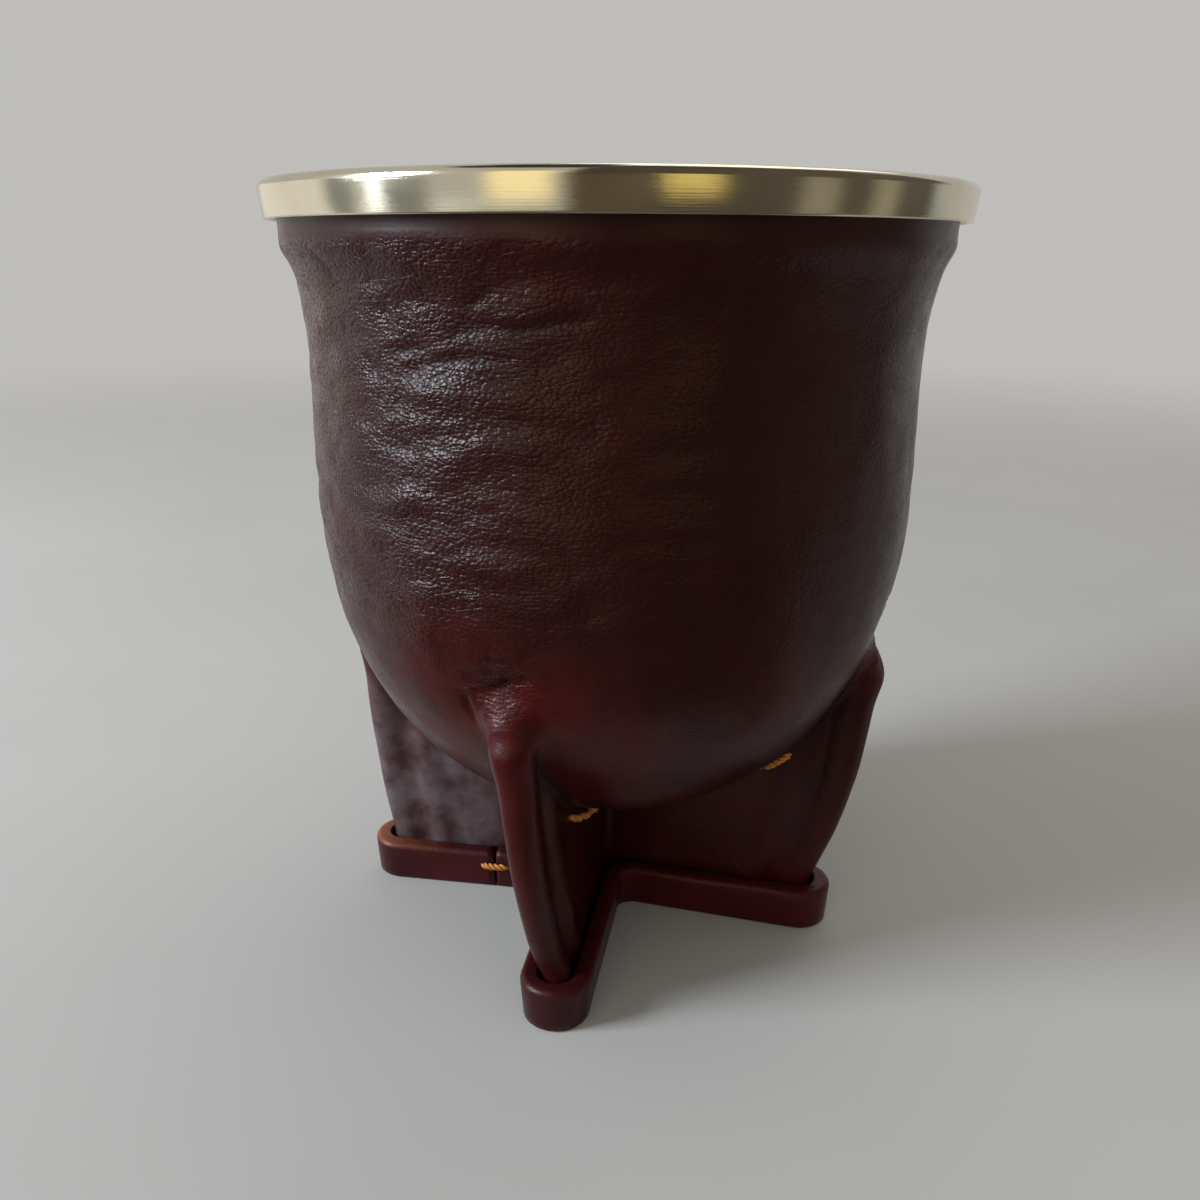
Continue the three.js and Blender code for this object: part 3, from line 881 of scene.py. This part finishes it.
def cover_relief(points, wall, tops, calm):
    """How far the leather stands off its smooth form, apart from wrinkles and creases."""
    height = points[:, 2]
    lumps = sum(rise * noise_at(points, size, offset) for size, rise, offset in LUMPS)
    swells = SWELL_DEPTH * noise_at(points, SWELL_SIZE, (9, 5, 1)) * slack(points, 6) * wall
    knuckles = KNUCKLE_RISE * bump(height, KNUCKLE_Z, KNUCKLE_WIDTH) * near_folds(points)
    gathers = GATHER_DEPTH * np.abs(noise_at(points, GATHER_SIZE, (2, 6, 3))) * tops
    collar = COLLAR_RISE * bump(height, COLLAR_LOW, COLLAR_WIDTH)
    held_in = COLLAR_PINCH * smoothstep(COLLAR_LOW, COLLAR_HIGH, height)
    lower_edge = FOOT_EDGE_IN * (1 - smoothstep(0, FOOT_EDGE_HEIGHT, height))
    raised = lumps * calm + swells + knuckles + collar
    return raised - gathers - PINCH_DEPTH * pinches(points) - held_in - lower_edge


def leather_cover():
    rings = np.stack([cover_ring(z) for z in cover_levels()])
    rows, columns = rings.shape[:2]
    points, outward = settle(cover_field, rings.reshape(-1, 3))
    height = points[:, 2]
    calm = 1 - smoothstep(COLLAR_EDGE - COLLAR_STEP, COLLAR_EDGE + COLLAR_STEP, height)
    below_collar = 1 - smoothstep(COLLAR_EDGE - COLLAR_FADE, COLLAR_EDGE, height)
    wall = smoothstep(WALL_LOW, WALL_HIGH, height) * below_collar
    tops = fin_tops(points)
    wrinkled = np.maximum(at_least(LEAST_WRINKLES, slack(points)) * wall, TOP_WRINKLES * tops)
    broad = wrinkles(points) * wrinkled
    single = creases(points)
    moved = cover_relief(points, wall, tops, calm) - WRINKLE_DEPTH * broad - single
    # Painted shade in creases and wrinkles, and under the bowl where the fins run in
    creased = np.maximum(under_creases(points), CREASE_SHADE * single + WRINKLE_SHADE * broad)
    rise = smoothstep(WALL_LOW, GRAIN_HIGH, height)
    grain = np.maximum(at_least(FIN_GRAIN, rise * at_least(LEAST_GRAIN, slack(points, 8))), tops)
    red_fins = RED_FINS * (1 - smoothstep(*RED_FADE, height))
    red_tops = RED_TOPS * fin_tops(points, width=11, depth=8)
    marks = {
        "wear": near_folds(points),
        "crease": np.clip(creased, 0, 1),
        "grain": grain * at_least(COLLAR_GRAIN, calm),
        "wrinkle": wrinkled,
        "red": RED_WALL + red_fins + red_tops,
        "raw": np.zeros(len(points)),
        # painted sheen on the front of the left fin
        "painted_sheen": painted_sheen_patch(points),
    }
    points = points + outward * moved[:, None]
    inner = cover_inside(points[-columns:])
    ends = np.array([(0, 0, inner[-1, 2]), (*FOOT, 0)])
    everything = np.concatenate([points, inner, ends])
    faces = grid_faces(rows + INSIDE_STEPS, columns)
    pole = len(everything) - 2
    last = pole - columns
    faces += [(last + j, last + (j + 1) % columns, pole) for j in range(columns)]
    faces += foot_faces(columns, pole + 1)
    hidden = np.zeros(len(everything) - len(points))
    marks = {label: np.concatenate([values, hidden]) for label, values in marks.items()}
    make_piece("leather_skin", everything, faces, COVER_LEATHER, "leather_cover", marks)


def near_folds(points, reach=3.2):
    """1 on the outer edge of each fin's fold, fading to 0 round it and above the fins."""
    near = np.zeros(len(points))
    for which, fin in enumerate(FINS):
        along, across = in_fin(fin, points)
        middle, fold_r = fold_at(which, points[:, 2])
        away = np.hypot(along - middle - fold_r, across)
        near = np.maximum(near, bump(away, 0, reach))
    return near * (1 - smoothstep(*FOLD_END, points[:, 2]))


def painted_sheen_patch(points):
    """Painted sheen: a grey reflection painted on the front of the left fin."""
    along, across = in_fin(FINS[JOINT_FIN], points)
    flank = smoothstep(0, FIN_HALF_THICKNESS, across) * (1 - smoothstep(*SHEEN_ACROSS, across))
    return flank * smoothstep(*SHEEN_ALONG, along) * (1 - smoothstep(*SHEEN_END, points[:, 2]))


def under_creases(points):
    """Painted shade: a dark line where the fins run in under the bowl."""
    fins = np.min([fin_distance(which, points) for which in range(len(FINS))], axis=0)
    gap = np.abs(body_distance(points)) + np.abs(fins)
    return bump(gap, 0, UNDER_SHADE_WIDTH) * (1 - smoothstep(*UNDER_SHADE_END, points[:, 2]))


def cover_inside(top):
    """Rings of the cover's inner face, from its upper edge down to the middle of the bowl."""
    inside = inset(LEATHER_OUTSIDE, LEATHER)
    index = np.arange(len(inside))
    top_r = np.hypot(top[:, 0], top[:, 1])
    rings = []
    for share in np.linspace(len(inside) - 1, 1, INSIDE_STEPS):
        radius, z = (np.interp(share, index, inside[:, k]) for k in range(2))
        rings.append(np.column_stack([top[:, :2] * (radius / top_r)[:, None], np.full(len(top), z)]))
    return np.concatenate(rings)


def foot_faces(columns, middle):
    """Faces on the table: across each fin from flank to flank, and a fan in the middle of the cross."""
    block = columns // len(FINS)
    faces = []
    loop = []
    for which in range(len(FINS)):
        first = which * block
        last = first + FIN_COLUMNS - 1
        for k in range(FIN_COLUMNS // 2):
            ends = [last - k, last - k - 1, first + k + 1, first + k]
            faces.append(ends[:1] + ends[2:] if ends[1] == ends[2] else ends)
        loop += [first, *range(last, first + block)]
    following = loop[1:] + loop[:1]
    return faces + [(middle, after, here) for here, after in zip(loop, following)]


# Rim and gourd, turned round the axis
def turned_points(loop, around):
    angle = np.linspace(0, 2 * math.pi, around, endpoint=False)
    x = loop[:, :1] * np.cos(angle)
    y = loop[:, :1] * np.sin(angle)
    return np.stack([x, y, np.broadcast_to(loop[:, 1:], x.shape)], axis=-1).reshape(-1, 3)


def rim():
    band_inside = NECK_R + SEAT_GAP
    band_outside = band_inside + RIM_SHEET
    band_top = band_outside + RIM_BAND_TAPER
    band_foot = CUP_TOP - RIM_BAND_HEIGHT
    lip_z = CUP_TOP - RIM_CROWN_DROP - RIM_LIP
    collar_foot = CUP_TOP - COLLAR_DEPTH
    outer = above(inset(GOURD_INSIDE, SEAT_GAP), collar_foot)
    inner = above(inset(GOURD_INSIDE, SEAT_GAP + RIM_SHEET), collar_foot)
    ceiling = RIM_SEAT_Z + SEAT_GAP
    loop = np.concatenate(
        [
            bend(band_outside - RIM_EDGE_R, band_foot + RIM_EDGE_R, RIM_EDGE_R, -QUARTER, 0, 4),
            bend(band_top - RIM_SHOULDER, CUP_TOP - RIM_SHOULDER, RIM_SHOULDER, 0, QUARTER),
            bend(inner[-1, 0] + RIM_LIP, lip_z, RIM_LIP, QUARTER, 2 * QUARTER),
            inner[-2::-1],
            outer[:-1],
            [(outer[-1, 0], ceiling), (band_inside, ceiling), (band_inside, band_foot)],
        ]
    )
    points = turned_points(loop, RIM_COLUMNS)
    faces = grid_faces(len(loop), RIM_COLUMNS, close_rows=True)
    make_piece("rim_ferrule", points, faces, NICKEL_SILVER, "rim")


def gourd(around=160):
    outside = inset(LEATHER_OUTSIDE, SKIN)[1::4]
    loop = np.concatenate([outside, [(NECK_R - SKIN, RIM_SEAT_Z)], GOURD_INSIDE[:0:-1]])
    points = turned_points(loop, around)
    radius = np.hypot(points[:, 0], points[:, 1])
    inner = radius < bowl_radius(points[:, 2]) - SKIN - 1
    collar_foot = CUP_TOP - COLLAR_DEPTH
    low = 1 - smoothstep(collar_foot - GOURD_WAVE_FADE, collar_foot, points[:, 2])
    waves = GOURD_WAVE * noise_at(points, GOURD_WAVE_SIZE) * inner * low
    points[:, :2] *= (1 + waves / np.maximum(radius, GOURD_CENTRE_R))[:, None]
    faces = grid_faces(len(loop), around, close_rows=True)
    make_piece("gourd_bowl", points, faces, GOURD_SHELL, "gourd")


# Foot strip
def welt_outline(out, tip_steps=18, corner_steps=10, side_steps=12):
    """Level outline of the strip moved out by a distance, from one end at its joint round to the other."""
    half = WELT_HALF_WIDTH + out
    corner_r = WELT_CORNER_R - out
    tips = []
    corners = []
    for which, fin in enumerate(FINS):
        following = FINS[(which + 1) % len(FINS)]
        heading = math.radians(fin["heading"])
        half_angle = math.radians((following["heading"] - fin["heading"]) % 360 / 2)
        tip = on_fin(fin, ARM_REACH - WELT_HALF_WIDTH, 0, 0)[:2]
        tips.append(tip + bend(0, 0, half, heading - QUARTER, heading + QUARTER, tip_steps))
        bisector = heading + half_angle
        away = (half + corner_r) / math.sin(half_angle)
        middle = FOOT + away * np.array((math.cos(bisector), math.sin(bisector)))
        start = heading - QUARTER
        end = start + 2 * half_angle - 2 * QUARTER
        corners.append(middle + bend(0, 0, corner_r, start, end, corner_steps))
    joint = FINS[JOINT_FIN]
    stops = [on_fin(joint, [JOINT_REACH - JOINT_GAP / 2], half, 0)[:, :2], corners[JOINT_FIN]]
    for which in range(JOINT_FIN):
        stops += [tips[which], corners[which]]
    stops += [tips[JOINT_FIN], on_fin(joint, [JOINT_REACH + JOINT_GAP / 2], half, 0)[:, :2]]
    share = np.linspace(0, 1, side_steps + 1)[1:-1, None]
    points = [stops[0]]
    for before, after in zip(stops[:-1], stops[1:]):
        points += [before[-1] + share * (after[0] - before[-1]), after]
    return np.concatenate(points)


def welt_section():
    """Section of the strip, as rows of (distance out, height): a lip over a groove along the fin."""
    top = WELT_HEIGHT
    edge = WELT_EDGE_R
    lip = WELT_FLARE - WELT_LIP
    chamfer_out, chamfer_up = WELT_CHAMFER
    rows = [(-WELT_THICKNESS, 0), (-chamfer_out, 0), (0, chamfer_up)]
    face = top - edge - chamfer_up
    rows += [(WELT_FLARE * share, chamfer_up + face * share) for share in (0.2, 0.4, 0.6, 0.8)]
    rows += bend(WELT_FLARE - edge, top - edge, edge, 0, QUARTER, 6).tolist()
    rows += bend(lip + WELT_LIP_R, top - WELT_LIP_R, WELT_LIP_R, QUARTER, 2 * QUARTER, 3).tolist()
    step_out, step_up = WELT_GROOVE_STEP
    rows += [(lip - WELT_UNDERCUT, top - 0.5 * WELT_GROOVE)]
    rows += [(-WELT_THICKNESS + step_out, top - WELT_GROOVE)]
    rows += [(-WELT_THICKNESS, top - WELT_GROOVE - step_up)]
    return np.array(rows)


def foot_welt():
    section = welt_section()
    outlines = [welt_outline(out) for out, z in section]
    levels = [np.full(len(line), z) for line, (out, z) in zip(outlines, section)]
    points = np.concatenate([np.column_stack([line, level]) for line, level in zip(outlines, levels)])
    rows, columns = len(section), len(outlines[0])
    height = points[:, 2]
    lift = noise_at(points, WELT_WAVE_SIZE) * WELT_WAVE * smoothstep(WELT_EVEN_Z, WELT_HEIGHT, height)
    left_tip = on_fin(FINS[JOINT_FIN], ARM_REACH, 0, WELT_HEIGHT)
    front_tip = on_fin(FINS[0], ARM_REACH, 0, WELT_HEIGHT)
    near_left = bump(np.linalg.norm(points - left_tip, axis=1), 0, RAW_TIP)
    near_front = bump(np.linalg.norm(points - front_tip, axis=1), 0, DARK_TIP)
    topmost = smoothstep(WELT_HEIGHT - WELT_EDGE_R, WELT_HEIGHT - WELT_TOP_BAND, height)
    groove = np.repeat(np.where(section[:, 0] < WELT_FLARE - WELT_LIP + 0.1, 1.0, 0.0), columns)
    marks = {
        "wear": bump(height, WELT_HEIGHT - WELT_WEAR_DROP, WELT_WEAR_WIDTH) * (1 - groove),
        # Painted shade: the groove along the fin is darkened
        "crease": groove,
        "grain": np.full(len(points), WELT_GRAIN),
        "wrinkle": np.zeros(len(points)),
        "red": WELT_RED - DARK_TIP_SHARE * near_front,
        "raw": topmost * near_left,
        "painted_sheen": np.zeros(len(points)),
    }
    points[:, 2] += lift
    faces = grid_faces(rows, columns, close_rows=True, close_columns=False)
    start = [row * columns for row in range(rows)]
    faces += [start, [index + columns - 1 for index in reversed(start)]]
    make_piece("foot_strip", points, faces, WELT_LEATHER, "foot_welt", marks)


# Thread
def smooth_path(points, step=0.22):
    """Points close together on a smooth curve through the given ones."""
    points = np.array(points, float)
    ends = np.concatenate([[2 * points[0] - points[1]], points, [2 * points[-1] - points[-2]]])
    path = []
    for a, b, c, d in zip(ends[:-3], ends[1:-2], ends[2:-1], ends[3:]):
        count = max(2, round(np.linalg.norm(c - b) / step))
        t = np.linspace(0, 1, count, endpoint=False)[:, None]
        path.append(b + 0.5 * t * (c - a + t * (2 * a - 5 * b + 4 * c - d + t * (3 * (b - c) + d - a))))
    return np.concatenate([*path, points[-1:]])


def side_directions(path, lean=(0.3, 0.2, 1)):
    """Two directions square to the path at each of its points, turning as little as they can."""
    ahead = np.gradient(path, axis=0)
    ahead /= np.linalg.norm(ahead, axis=1)[:, None]
    side = np.cross(ahead[0], lean)
    first = []
    for way in ahead:
        side = side - way * (side @ way)
        side = side / np.linalg.norm(side)
        first.append(side)
    first = np.array(first)
    return first, np.cross(ahead, first)


def circle_round(angle, first, second):
    """Points of a circle in the plane of two directions."""
    return np.cos(angle)[..., None] * first + np.sin(angle)[..., None] * second


def twisted_thread(paths, sides=8):
    """Points and faces of threads of a few plies, each ply winding round its path."""
    turn = np.linspace(0, 2 * math.pi, sides, endpoint=False)[:, None]
    points = []
    faces = []
    for path in paths:
        first, second = side_directions(path)
        length = np.concatenate([[0], np.cumsum(np.linalg.norm(np.diff(path, axis=0), axis=1))])
        for ply in range(THREAD_PLIES):
            angle = (length / THREAD_TWIST + ply / THREAD_PLIES) * 2 * math.pi
            middle = path + (THREAD_R - PLY_R) * circle_round(angle, first, second)
            tube = middle + PLY_R * circle_round(turn, first, second)
            tube = tube.transpose(1, 0, 2).reshape(-1, 3)
            start = sum(len(part) for part in points)
            rings = np.array(grid_faces(len(path), sides)) + start
            end = start + len(tube)
            faces += rings.tolist()
            faces += [list(range(start + sides - 1, start - 1, -1)), list(range(end - sides, end))]
            points.append(tube)
    return np.concatenate(points), faces


def seam_place(fin, hole, across):
    along = SEAM_START + (SEAM_END - SEAM_START) * hole / SEAM_STITCHES
    line = inset(LEATHER_OUTSIDE, -SEAM_DROP)
    under = np.linalg.norm(on_fin(fin, along, across, LEG_HEIGHT)[:2])
    return on_fin(fin, along, across, np.interp(under, line[:BOWL_ROWS, 0], line[:BOWL_ROWS, 1]))


def seam_strand(fin, side):
    """One strand of a saddle stitch, on alternate sides; only its open stitches lie on the leather."""
    sunk = FIN_HALF_THICKNESS - THREAD_R
    stops = []
    for stitch in range(SEAM_STITCHES):
        lying = sunk - SEAM_SINK
        if stitch in fin["open_stitches"]:
            lying = FIN_HALF_THICKNESS + THREAD_LIFT
        heights = (sunk, lying, lying + SEAM_CROWN, lying, sunk)
        for share, across in zip(STITCH_SHARES, heights):
            stops.append(seam_place(fin, stitch + share, side * across))
        side = -side
    return smooth_path(stops)


def seam_threads():
    for fin in FINS:
        node = fin["name"] + "_seam_thread"
        points, faces = twisted_thread([seam_strand(fin, 1), seam_strand(fin, -1)])
        make_piece(fin["name"] + "_seam_stitches", points, faces, WAXED_THREAD, node)


def welt_stitch():
    fin = FINS[JOINT_FIN]
    outside = WELT_HALF_WIDTH + THREAD_LIFT
    inside = FIN_HALF_THICKNESS - CLOSING_BITE
    start = JOINT_REACH - CLOSING_STITCH / 2
    end = JOINT_REACH + CLOSING_STITCH / 2
    stops = [
        (start, inside),
        (start, outside - CLOSING_BEND),
        (start + CLOSING_BEND, outside),
        (end - CLOSING_BEND, outside),
        (end, outside - CLOSING_BEND),
        (end, inside),
    ]
    path = smooth_path([on_fin(fin, along, across, CLOSING_HEIGHT) for along, across in stops])
    points, faces = twisted_thread([path])
    make_piece("welt_closing_stitch", points, faces, WAXED_THREAD, "welt_stitch")


# Light, screens and floor, in metres and degrees
BACKDROP = (0.52, 0.51, 0.49)
FLOOR_DARK = (0.39, 0.378, 0.362)
FLOOR_LIGHT = (0.45, 0.436, 0.42)
DULL_CLOUDS = 0.01
DARK_SCREENS = (  # name, radius and height of the profile, and headings of the ends, -90 on the left
    ("dark_screen", ((0.36, 0), (0.36, 0.45), (0.26, 0.62), (0, 0.68)), -5, 120),
    # Painted shadow: a dark card on the floor in front of the cup, seen only in reflections, stands in for
    # the shade on the table there
    ("painted_shadow_card", ((0.055, 0.001), (0.36, 0.001)), -66, 75),
    ("dark_canopy", ((0.22, 0.5), (0, 0.58)), -175, -5),
)
DARK = (0.075, 0.06, 0.044)
PALE_GREY = (0.4, 0.41, 0.4)
BROWN = (0.14, 0.1, 0.065)
TAN = (0.26, 0.22, 0.16)
PANELS = (  # headings of the ends, and colour
    (-80, -70, PALE_GREY),
    (-59, -44, PALE_GREY),
    (-5, 19, BROWN),
    (60, 72, TAN),
    (84, 94, TAN),
    (112, 120, PALE_GREY),
)
PANEL = ((0.34, 0.001), (0.34, 0.14))  # radius and height of these panels
COOL_LIGHT = (0.82, 0.92, 1)
WARM_LIGHT = (1, 0.79, 0.25)
TAN_LIGHT = (1, 0.92, 0.82)
PLAIN_LIGHT = (1, 0.98, 0.95)
LIGHT_CENTRE = Vector((0, 0, 0.06))
LAMPS = (  # name, heading, elevation, distance, size, radiance and colour
    ("window", -64, 21, 0.9, (0.28, 0.4), 34, COOL_LIGHT),
    ("window_gap", -65, 0, 0.88, (0.05, 0.3), 3, COOL_LIGHT),
    ("warm_left", -18.5, 13, 0.9, (0.3, 0.8), 0.8, WARM_LIGHT),
    ("left_wall", -112, 0, 0.8, (0.75, 0.3), 0.34, TAN_LIGHT),
    ("warm_right", 29, 8, 0.33, (0.09, 0.09), 0.8, WARM_LIGHT),
    ("ceiling", 165, 60, 0.9, (0.6, 0.6), 1.3, PLAIN_LIGHT),
)


def direction(heading, elevation):
    turned, raised = math.radians(heading), math.radians(elevation)
    level = math.cos(raised)
    return Vector((math.sin(turned) * level, -math.cos(turned) * level, math.sin(raised)))


def area_light(name, heading, elevation, distance, size, radiance, colour):
    lamp = bpy.data.lights.new(name, "AREA")
    lamp.shape = "RECTANGLE"
    lamp.size, lamp.size_y = size
    lamp.energy = radiance * math.pi * size[0] * size[1]
    lamp.color = colour
    holder = add_object(name, lamp)
    away = direction(heading, elevation)
    holder.location = LIGHT_CENTRE + away * distance
    holder.rotation_euler = (-away).to_track_quat("-Z", "Y").to_euler()
    holder.visible_camera = False


def room():
    world = bpy.data.worlds.new("room")
    bpy.context.scene.world = world
    world.use_nodes = True
    tree = world.node_tree
    tree.nodes["Background"].inputs["Color"].default_value = (*BACKDROP, 1)
    for lamp in LAMPS:
        area_light(*lamp)


def dull_material(name, dark, light):
    """A dull surface, clouded with two colours."""
    material, shader, places = new_material(name)
    clouds = noise_node(in_millimetres(places), DULL_CLOUDS, 3.0)
    feed(shader, {"Base Color": mix_colours(clouds, dark, light), "Roughness": 0.9})
    return material, shader, places


def screen_material(name, colour):
    dark, light = (tuple(share * c for c in colour) for share in (0.7, 1.3))
    return dull_material(name, dark, light)[0]


def screen(name, profile, start, end, material, steps=24):
    """A surface turned round the axis from one heading to another, seen only in reflections."""
    ways = [direction(heading, 0) for heading in np.linspace(start, end, steps)]
    points = [way * radius + Vector((0, 0, z)) for radius, z in profile for way in ways]
    made = mesh_object(name, points, grid_faces(len(profile), steps, close_columns=False), material)
    made.visible_camera = False
    made.visible_shadow = False
    made.visible_diffuse = False


def surroundings():
    dark = screen_material("dark_screen", DARK)
    for name, profile, start, end in DARK_SCREENS:
        screen(name, profile, start, end, dark)
    for which, (start, end, colour) in enumerate(PANELS):
        name = "panel_%d" % which
        screen(name, PANEL, start, end, screen_material(name, colour))


def floor(size=2.5, solid_to=0.25, gone_at=0.9):
    """A pale table that fades into the backdrop with distance."""
    material, shader, places = dull_material("pale_floor", FLOOR_DARK, FLOOR_LIGHT)
    feed(shader, {"Specular IOR Level": 0.1})
    tree = material.node_tree
    away = add_node(tree, "ShaderNodeVectorMath", {0: places}, operation="LENGTH").outputs["Value"]
    clear = add_node(tree, "ShaderNodeBsdfTransparent").outputs["BSDF"]
    inputs = {0: ramp(away, solid_to, gone_at), 1: shader.outputs["BSDF"], 2: clear}
    faded = add_node(tree, "ShaderNodeMixShader", inputs).outputs["Shader"]
    feed(tree.nodes["Material Output"], {"Surface": faded})
    corners = [(-size, -size, 0), (size, -size, 0), (size, size, 0), (-size, size, 0)]
    plane = mesh_object("floor", corners, [(0, 1, 2, 3)], material)


# Camera
def camera():
    data = bpy.data.cameras.new("camera")
    data.sensor_width = SENSOR
    data.lens = LENS
    data.clip_start = 0.01
    view = add_object("camera", data)
    right = Vector((math.cos(CAMERA_TURN), math.sin(CAMERA_TURN), 0))
    level = Vector((-math.sin(CAMERA_TURN), math.cos(CAMERA_TURN), 0))
    ahead = level * math.cos(CAMERA_PITCH) - Vector((0, 0, 1)) * math.sin(CAMERA_PITCH)
    up = right.cross(ahead)
    turned_right = right * math.cos(CAMERA_ROLL) + up * math.sin(CAMERA_ROLL)
    turned_up = up * math.cos(CAMERA_ROLL) - right * math.sin(CAMERA_ROLL)
    axes = Matrix((turned_right, turned_up, -ahead)).transposed().to_4x4()
    view.matrix_world = Matrix.Translation(Vector(CAMERA_PLACE) * MM) @ axes
    bpy.context.scene.camera = view


leather_cover()
rim()
gourd()
foot_welt()
seam_threads()
welt_stitch()
room()
surroundings()
floor()
camera()
bpy.context.scene.view_settings.view_transform = "Standard"
